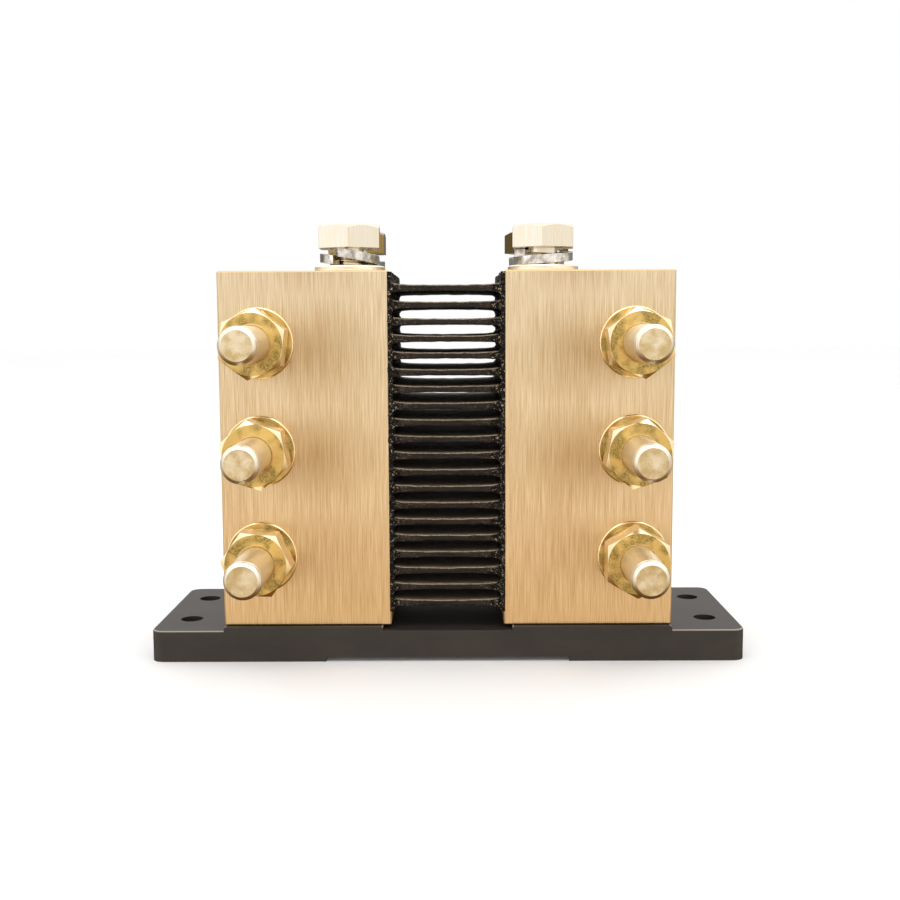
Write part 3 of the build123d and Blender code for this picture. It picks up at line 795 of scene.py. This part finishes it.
def spring_washer_shape(sizes, outer, thickness, rise, way, slope):
    """Bar of rectangular wire coiled once from z = 0, with its cut on +X and slanted by slope."""
    inner = sizes.thread_radius + 0.15 * MM
    middle = (inner + outer) / 2
    cut = sizes.spring_cut / middle
    section = [(inner, 0), (outer, 0), (outer, thickness), (inner, thickness)]
    bm = sweep_ring(bmesh.new(), section, way * (math.tau - cut), 96, rise=rise, start=way * cut / 2)
    for vert in bm.verts:
        lean = (vert.co.z - thickness / 2) * math.tan(slope) / middle
        vert.co = Matrix.Rotation(-lean, 3, "Z") @ vert.co
    return bm


# ---------------------------------------------------------------- operators
class SHUNT_OT_blocks(bpy.types.Operator):
    """Finish the two terminal blocks in brushed brass"""
    bl_idname = "shunt.blocks"
    bl_label = "Terminal blocks"

    def execute(self, context):
        material = brushed_brass(context.scene.shunt_blocks)
        for side in SIDES:
            finish_node(f"block_{side}", material)
        return {"FINISHED"}


class SHUNT_OT_base(bpy.types.Operator):
    """Finish the moulded base and the screws under it"""
    bl_idname = "shunt.base"
    bl_label = "Moulded base"

    def execute(self, context):
        finish_node("base_plate", moulded_plastic(context.scene.shunt_base))
        sizes = context.scene.shunt_hardware
        zinc = plated_steel("zinc_plated_steel", sizes.zinc_colour, sizes.patch_colour, 0.3)
        finish_node("base_screws", zinc)
        return {"FINISHED"}


class SHUNT_OT_strips(bpy.types.Operator):
    """Shape and paint the resistor strips"""
    bl_idname = "shunt.strips"
    bl_label = "Resistor strips"

    def execute(self, context):
        finish = context.scene.shunt_strips
        material = strip_paint(finish)
        for seed, name in enumerate(STRIPS, start=1):
            low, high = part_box(name)
            bm = box_between(low, high)
            long_edges = [e for e in bm.edges if abs(e.verts[0].co.x - e.verts[1].co.x) > BLOCK_DEPTH / 2]
            bmesh.ops.bevel(bm, geom=long_edges, offset=finish.soft_edge, segments=3, profile=0.5,
                            affect="EDGES", material=-1)
            slice_box(bm, low, high, (finish.slices, 20, 1))
            self.weather(bm, low, high, finish, seed)
            make_piece(f"painted_{name}", bm, material, BODY, [name], sharp=60)
        return {"FINISHED"}

    def weather(self, bm, low, high, finish, seed):
        """Uneven paint, thicker towards the joints and nothing where the strip enters its slot."""
        middle = (low.z + high.z) / 2
        for vert in bm.verts:
            x, y, z = vert.co
            shown = max(0.0, min(1.0, (INNER_FACE - abs(x)) / (1.0 * MM)))
            up = 1 if z > middle else -1
            reach = min(abs(x), INNER_FACE) / INNER_FACE
            swell = finish.swell * (0.35 * reach ** 2 + 0.65 * reach ** 8) * (1.0 if up > 0 else 0.7)
            uneven = finish.waviness * wander(x, y, z, 2.5 * MM, seed)
            vert.co.z += shown * up * (swell + uneven)
            if abs(abs(y) - high.y) < finish.soft_edge:
                vert.co.y += shown * finish.waviness * wander(x, z, y, 3 * MM, seed + 40)


class SHUNT_OT_braze(bpy.types.Operator):
    """Build the crusty brazed joint on each block's inner face"""
    bl_idname = "shunt.braze"
    bl_label = "Brazed joints"

    def execute(self, context):
        finish = context.scene.shunt_strips
        material = painted_braze(finish)
        heights = [sum(corner.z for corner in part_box(name)) / 2 for name in STRIPS]
        for side, sign in SIDES.items():
            low, high = self.limits(sign)
            bm = slice_box(box_between(low, high), low, high, (2, 64, 250))
            self.crust(bm, sign, heights, finish)
            make_piece(f"braze_crust_{side}", bm, material, BODY, [f"braze_{side}"],
                       sharp=80)
        return {"FINISHED"}

    def limits(self, sign):
        """Box of the joint: a skin on the inner face that laps round its front and back edges."""
        skin = BRAZE_HIGH.x - BRAZE_LOW.x
        near, far = sign * (INNER_FACE - 0.75 * skin), sign * (INNER_FACE + 0.25 * MM)
        lap = 0.08 * MM
        low = Vector((min(near, far), FRONT_FACE - lap, BRAZE_LOW.z))
        high = Vector((max(near, far), FRONT_FACE + BLOCK_DEPTH + lap, BRAZE_HIGH.z))
        return low, high

    def crust(self, bm, sign, heights, finish):
        """Pulls the skin out along each strip and makes it uneven."""
        bare_band = 0.75 * MM  # each strip's own edge, where the braze stands furthest out
        for vert in bm.verts:
            x, y, z = vert.co
            if abs(x) < INNER_FACE - 0.1 * MM:
                off = min(abs(z - height) for height in heights)
                into_gap = min(1.0, max(0.0, (off - bare_band) / finish.fillet))
                drawn = DRAWN_OUT[sign] * finish.fillet * (1 - math.sqrt(1 - (1 - into_gap) ** 2))
                uneven = finish.crust * wander(x, y, z, 1.1 * MM, 3 + sign)
                coarse = 0.5 * finish.crust * wander(x, y, z, 3.5 * MM, 9 + sign)
                vert.co.x -= sign * max(-0.4 * MM, drawn + uneven + coarse)
            else:
                lap = wander(x, y, z, 1.4 * MM, 5 + sign) + 0.5 * wander(x, y, z, 0.6 * MM, 6 + sign)
                if abs(x) > INNER_FACE + 0.15 * MM:
                    vert.co.x += sign * 0.3 * MM * lap
            edge = abs(abs(y) - BLOCK_DEPTH / 2) < 0.2 * MM
            if edge:
                vert.co.y += math.copysign(0.07 * MM, y) * wander(x, z, y, 0.9 * MM, 7 + sign)


class SHUNT_OT_terminal_bolts(bpy.types.Operator):
    """Turn the six terminal bolts"""
    bl_idname = "shunt.terminal_bolts"
    bl_label = "Terminal bolts"

    def execute(self, context):
        sizes = context.scene.shunt_hardware
        material = turned_brass(sizes, "y")
        for (side, level), turn in NUT_TURNS.items():
            node = f"terminal_bolt_{side}_{level}"
            low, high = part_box(node)
            bm = terminal_bolt_shape(sizes, FRONT_FACE - low.y, FRONT_FACE - high.y, turn)
            bm.transform(bolt_place(side, level))
            make_piece(f"turned_bolt_{side}_{level}", bm, material, BODY, [node],
                       soft_edge=sizes.soft_edge)
        return {"FINISHED"}


class SHUNT_OT_terminal_nuts(bpy.types.Operator):
    """Cut the six terminal nuts"""
    bl_idname = "shunt.terminal_nuts"
    bl_label = "Terminal nuts"

    def execute(self, context):
        sizes = context.scene.shunt_hardware
        material = tumbled_brass(sizes, "y")
        for (side, level), turn in NUT_TURNS.items():
            node = f"terminal_nut_{side}_{level}"
            low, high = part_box(node)
            bm = nut_shape(sizes, sizes.thread_radius + 0.05 * MM, high.y - low.y, turn)
            bm.transform(bolt_place(side, level) @ raised(FRONT_FACE - high.y))
            make_piece(f"tumbled_nut_{side}_{level}", bm, material, f"nut_{side}_{level}",
                       [node], soft_edge=sizes.tumbled_edge, sharp=20)
        return {"FINISHED"}


class SHUNT_OT_terminal_washers(bpy.types.Operator):
    """Make the flat and spring washers of the terminal bolts"""
    bl_idname = "shunt.terminal_washers"
    bl_label = "Terminal washers"

    def execute(self, context):
        sizes = context.scene.shunt_hardware
        brass = tumbled_brass(sizes, "y")
        brass.name = "stamped_brass_washer"
        steel = plated_steel("plated_spring_steel", sizes.spring_colour, sizes.patch_colour, 0.18)
        self.flat_washers(sizes, brass)
        for (side, level), turn in NUT_TURNS.items():
            node = f"terminal_spring_washer_{side}_{level}"
            low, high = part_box(node)
            bm = spring_washer_shape(sizes, (high.x - low.x) / 2, high.y - low.y, 0.0, 1, math.radians(25))
            bm.transform(bolt_place(side, level) @ raised(FRONT_FACE - high.y, turn))
            make_piece(f"flattened_spring_{side}_{level}", bm, steel,
                       f"spring_washer_{side}_{level}", [node], soft_edge=sizes.soft_edge)
        return {"FINISHED"}

    def flat_washers(self, sizes, brass):
        """The six washers under the nuts, and the six under the bolt heads behind the blocks."""
        low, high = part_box("terminal_front_washers")
        thickness = high.y - low.y
        radius = high.x - max(bolt_place(*key).translation.x for key in NUT_TURNS)
        front = [bolt_place(*key) for key in NUT_TURNS]
        to_rear = raised(-BLOCK_DEPTH) @ Matrix.Rotation(math.pi, 4, "X")
        places = {"front": front, "rear": [place @ to_rear for place in front]}
        for end, spots in places.items():
            bm = join_copies(lambda: flat_washer_shape(sizes, radius, thickness), spots)
            make_piece(f"stamped_washers_{end}", bm, brass, BODY,
                       [f"terminal_{end}_washers"], soft_edge=sizes.soft_edge)


class SHUNT_OT_sense_screws(bpy.types.Operator):
    """Make the four sense screws with their threads"""
    bl_idname = "shunt.sense_screws"
    bl_label = "Sense screws"

    def execute(self, context):
        sizes = context.scene.shunt_hardware
        # Lit and shaded copies of one brass: the front screws are drawn pale, the back ones darker, as
        # painted shade.
        materials = {
            "front": drawn_brass("drawn_brass_bright", sizes.lit_front_colour, sizes.deep_colour),
            "back": drawn_brass("drawn_brass_shaded", sizes.back_shade_colour, sizes.dull_colour),
        }
        for (side, row), turn in HEAD_TURNS.items():
            node = f"sense_screw_{side}_{row}"
            low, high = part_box(node)
            seat = high.z - sizes.head_height
            bm = sense_screw_shape(sizes, seat - low.z, turn)
            bm.transform(sense_place(side, row) @ raised(seat - BLOCK_HIGH.z))
            make_piece(f"threaded_screw_{side}_{row}", bm, materials[row],
                       f"sense_screw_{side}_{row}", [node], soft_edge=0.6 * sizes.soft_edge)
        return {"FINISHED"}


class SHUNT_OT_sense_washers(bpy.types.Operator):
    """Make the flat and spring washers of the sense screws"""
    bl_idname = "shunt.sense_washers"
    bl_label = "Sense washers"

    def execute(self, context):
        sizes = context.scene.shunt_hardware
        brass = turned_brass(sizes, "z")
        brass.name = "stamped_brass_sense_washer"
        low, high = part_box("sense_washers")
        radius = high.x - max(sense_place(*key).translation.x for key in SPRING_CUTS)
        places = [sense_place(*key) for key in SPRING_CUTS]
        bm = join_copies(lambda: flat_washer_shape(sizes, radius, high.z - low.z), places)
        make_piece("stamped_sense_washers", bm, brass, BODY, ["sense_washers"],
                   soft_edge=sizes.soft_edge)
        steel = plated_steel("plated_spring_steel_free", sizes.spring_colour, sizes.patch_colour, 0.18)
        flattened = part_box("terminal_spring_washer_left_top")
        thickness = flattened[1].y - flattened[0].y
        outer = (flattened[1].x - flattened[0].x) / 2
        for (side, row), (turn, way, lean, side_up) in SPRING_CUTS.items():
            node = f"sense_spring_washer_{side}_{row}"
            low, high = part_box(node)
            rise = high.z - low.z - thickness
            bm = spring_washer_shape(sizes, outer, thickness, rise, way, 0.0)
            self.lean_over(bm, outer, thickness, rise, lean, math.radians(side_up - turn))
            bm.transform(sense_place(side, row) @ raised(low.z - BLOCK_HIGH.z, turn))
            make_piece(f"sprung_washer_{side}_{row}", bm, steel, f"sense_washer_{side}_{row}",
                       [node], soft_edge=sizes.soft_edge)
        return {"FINISHED"}

    def lean_over(self, bm, outer, thickness, rise, lean, toward):
        """Tips a free spring washer until it touches the head above and the flat washer below."""
        top = thickness + rise
        raised_side = Vector((math.cos(toward), math.sin(toward), 0)) / outer
        for vert in bm.verts:
            vert.co.z += lean * vert.co.dot(raised_side)
        lowest = min(vert.co.z for vert in bm.verts)
        highest = max(vert.co.z for vert in bm.verts)
        squeeze = min(1.0, (top - 0.04 * MM) / (highest - lowest))
        for vert in bm.verts:
            vert.co.z = 0.02 * MM + (vert.co.z - lowest) * squeeze


class SHUNT_OT_stage(bpy.types.Operator):
    """Set the floor, the soft lights and the camera"""
    bl_idname = "shunt.stage"
    bl_label = "Stage"

    def execute(self, context):
        setting = context.scene.shunt_stage
        context.scene.view_settings.view_transform = "Standard"
        self.floor(setting)
        self.surroundings(context.scene)
        self.softbox("top_softbox", (0, -0.3, 0.95), (0, 0, 0.05), (1.2, 1.0), 1.0, "#FFFFFF")
        self.softbox("left_softbox", (-0.85, -0.35, 0.22), (0, 0, 0.06), (0.6, 0.6), 0.3, "#CFE2FF")
        self.softbox("right_softbox", (0.85, -0.35, 0.45), (0, 0, 0.06), (0.5, 0.5), 0.1, "#FFFFFF")
        self.camera(context.scene, setting)
        return {"FINISHED"}

    def floor(self, setting):
        """A pale floor just under the base, lit a little from within like a light table."""
        bm = bmesh.new()
        bmesh.ops.create_grid(bm, x_segments=1, y_segments=1, size=setting.floor_size / 2)
        bmesh.ops.translate(bm, vec=(0, 0, CAD_BOX[0].z), verts=bm.verts)
        mesh = bpy.data.meshes.new("floor")
        bm.to_mesh(mesh)
        bm.free()
        floor = bpy.data.objects.new("floor", mesh)
        bpy.context.scene.collection.objects.link(floor)
        material, tree, output = start_material("pale_floor")
        shader = add_node(tree, "ShaderNodeBsdfPrincipled", inputs={
            "Base Color": rgba(linear("#F7F7F7")),
            "Roughness": 0.9,
            "Emission Color": (1, 1, 1, 1),
            "Emission Strength": 0.04,
        })
        tree.links.new(shader.outputs["BSDF"], output.inputs["Surface"])
        mesh.materials.append(material)
        floor.visible_glossy = False

    def surroundings(self, scene):
        """A white studio as metal mirrors it: bright overhead, in front and at both sides, warm and dim
        below, and dim behind."""
        world = bpy.data.worlds.new("studio")
        scene.world = world
        world.use_nodes = True
        tree = world.node_tree
        tree.nodes.clear()
        direction = add_node(tree, "ShaderNodeTexCoord").outputs["Generated"]
        axes = add_node(tree, "ShaderNodeSeparateXYZ", inputs={"Vector": direction})
        ramp = add_node(tree, "ShaderNodeValToRGB", inputs={"Fac": remap(tree, axes.outputs["Z"], -1, 1)})
        stops = [(0.0, "#6B4A22"), (0.2, "#8A6634"), (0.34, "#EBD6B6"), (0.42, "#FFF6EA"), (0.5, "#FFFDFA"),
                 (1.0, "#FFFFFF")]
        elements = ramp.color_ramp.elements
        while len(elements) < len(stops):
            elements.new(0.5)
        for element, (place, colour) in zip(elements, stops):
            element.position = place
            element.color = rgba(linear(colour))
        far_wall = remap(tree, axes.outputs["Y"], 0.0, 0.5, 1.08, 0.22)
        near_wall = remap(tree, axes.outputs["Y"], -0.8, -0.97, 1.08, 0.98)
        overhead = remap(tree, axes.outputs["Z"], 0.12, 0.35, 0.0, 1.3)
        walls = combine(tree, "MAXIMUM", combine(tree, "MINIMUM", far_wall, near_wall), overhead)
        mirrored_colour = blend_colours(tree, 1.0, ramp.outputs["Color"], walls, "MULTIPLY")
        mirrored = add_node(tree, "ShaderNodeLightPath").outputs["Is Glossy Ray"]
        colour = blend_colours(tree, mirrored, (1, 1, 1, 1), mirrored_colour)
        background = add_node(tree, "ShaderNodeBackground", inputs={"Color": colour, "Strength": 1.0})
        output = add_node(tree, "ShaderNodeOutputWorld")
        tree.links.new(background.outputs[0], output.inputs["Surface"])

    def softbox(self, name, place, target, size, brightness, colour):
        """A rectangular soft light that faces its target, as bright as so many white cards."""
        light = bpy.data.lights.new(name, "AREA")
        light.shape = "RECTANGLE"
        light.size, light.size_y = size
        light.energy = brightness * math.pi * size[0] * size[1]
        light.color = linear(colour)
        box = bpy.data.objects.new(name, light)
        box.location = place
        box.rotation_mode = "QUATERNION"
        box.rotation_quaternion = (Vector(target) - Vector(place)).to_track_quat("-Z", "Y")
        box.visible_camera = False
        bpy.context.scene.collection.objects.link(box)

    def camera(self, scene, setting):
        """The camera in front of the shunt, a little above its middle."""
        data = bpy.data.cameras.new("camera")
        data.lens = setting.lens
        data.clip_start = 0.01
        camera = bpy.data.objects.new("camera", data)
        level = Matrix.Rotation(setting.camera_turn, 4, "Z") @ Matrix.Rotation(
            math.pi / 2 - setting.camera_tilt, 4, "X")
        camera.matrix_world = Matrix.Translation(setting.camera_place) @ level @ Matrix.Rotation(
            setting.camera_roll, 4, "Z")
        scene.collection.objects.link(camera)
        scene.camera = camera


class SHUNT_PT_panel(bpy.types.Panel):
    """Lists the pieces of the shunt"""
    bl_idname = "SHUNT_PT_panel"
    bl_label = "Shunt"
    bl_space_type = "VIEW_3D"
    bl_region_type = "UI"
    bl_category = "Shunt"

    def draw(self, context):
        for operator in PIECES:
            self.layout.operator(operator.bl_idname)


SETTINGS = {
    "shunt_blocks": BlockFinish,
    "shunt_hardware": HardwareFinish,
    "shunt_strips": StripFinish,
    "shunt_base": BaseFinish,
    "shunt_stage": StageSetting,
}
PIECES = (
    SHUNT_OT_base,
    SHUNT_OT_blocks,
    SHUNT_OT_strips,
    SHUNT_OT_braze,
    SHUNT_OT_terminal_bolts,
    SHUNT_OT_terminal_washers,
    SHUNT_OT_terminal_nuts,
    SHUNT_OT_sense_washers,
    SHUNT_OT_sense_screws,
    SHUNT_OT_stage,
)


def register():
    for group in (*SETTINGS.values(), *PIECES, SHUNT_PT_panel):
        bpy.utils.register_class(group)
    for name, group in SETTINGS.items():
        setattr(bpy.types.Scene, name, PointerProperty(type=group))


def unregister():
    for name in SETTINGS:
        delattr(bpy.types.Scene, name)
    for group in (SHUNT_PT_panel, *reversed(PIECES), *SETTINGS.values()):
        bpy.utils.unregister_class(group)


def main():
    """Registers the add-on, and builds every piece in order."""
    register()
    for operator in PIECES:
        family, name = operator.bl_idname.split(".")
        getattr(getattr(bpy.ops, family), name)()


if __name__ == "__main__":
    main()
